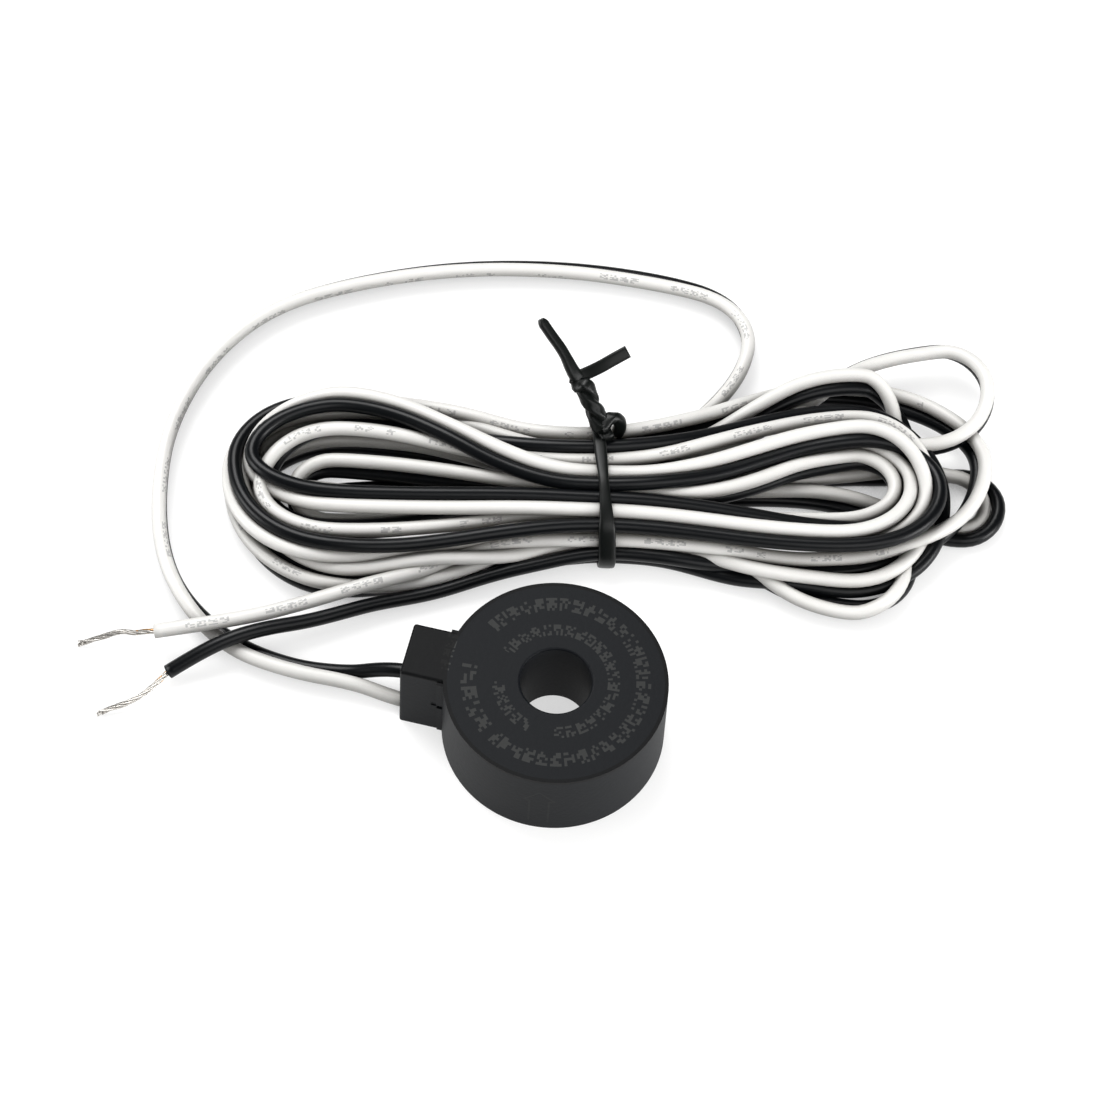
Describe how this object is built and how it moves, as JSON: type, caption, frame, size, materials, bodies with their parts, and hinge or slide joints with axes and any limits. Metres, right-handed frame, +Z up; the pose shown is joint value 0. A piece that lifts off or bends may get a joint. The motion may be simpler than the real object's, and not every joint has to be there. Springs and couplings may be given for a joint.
{
  "type": "solid-core current transformer",
  "caption": "Ring-shaped potted current transformer with a round primary window and a lead box, its black and white twin lead folded into a hank with a twist tie.",
  "frame": {"origin": "on the axis of the primary window, at the underside (the potted side, which rests on the table)", "axes": "+Z up the window towards the marked face, -X towards the lead box, +Y towards the hank"},
  "size_m": [0.088, 0.0682, 0.0162],
  "materials": {
    "housing": "moulded black nylon, fine matt spark finish",
    "potting": "cured black epoxy, glossy",
    "core": "wound soft-magnetic tape, edge-on",
    "core_case": "natural moulded plastic",
    "winding": "enamelled copper wire",
    "tape": "yellow polyester tape",
    "solder": "bright solder",
    "sleeve": "heat-shrink tubing",
    "white_wire": "white PVC insulation, satin",
    "black_wire": "black PVC insulation, satin",
    "hank": "black and white PVC twin lead",
    "strands": "tinned copper strands",
    "tie": "black plastic-coated wire"
  },
  "bodies": {
    "root": {"housing": "housing", "potting": "potting", "toroidal_core": "core", "core_case": "core_case", "core_case_lid": "core_case", "secondary_winding": "winding", "winding_tape": "tape", "white_magnet_wire": "winding", "black_magnet_wire": "winding", "white_solder_joint": "solder", "black_solder_joint": "solder", "white_joint_sleeve": "sleeve", "black_joint_sleeve": "sleeve", "white_lead_tail": "white_wire", "black_lead_tail": "black_wire", "twin_lead_loop": "white_wire", "lead_hank": "hank", "white_lead_end": "white_wire", "black_lead_end": "black_wire", "white_bare_strands": "strands", "black_bare_strands": "strands", "twist_tie": "tie"}
  },
  "joints": []
}
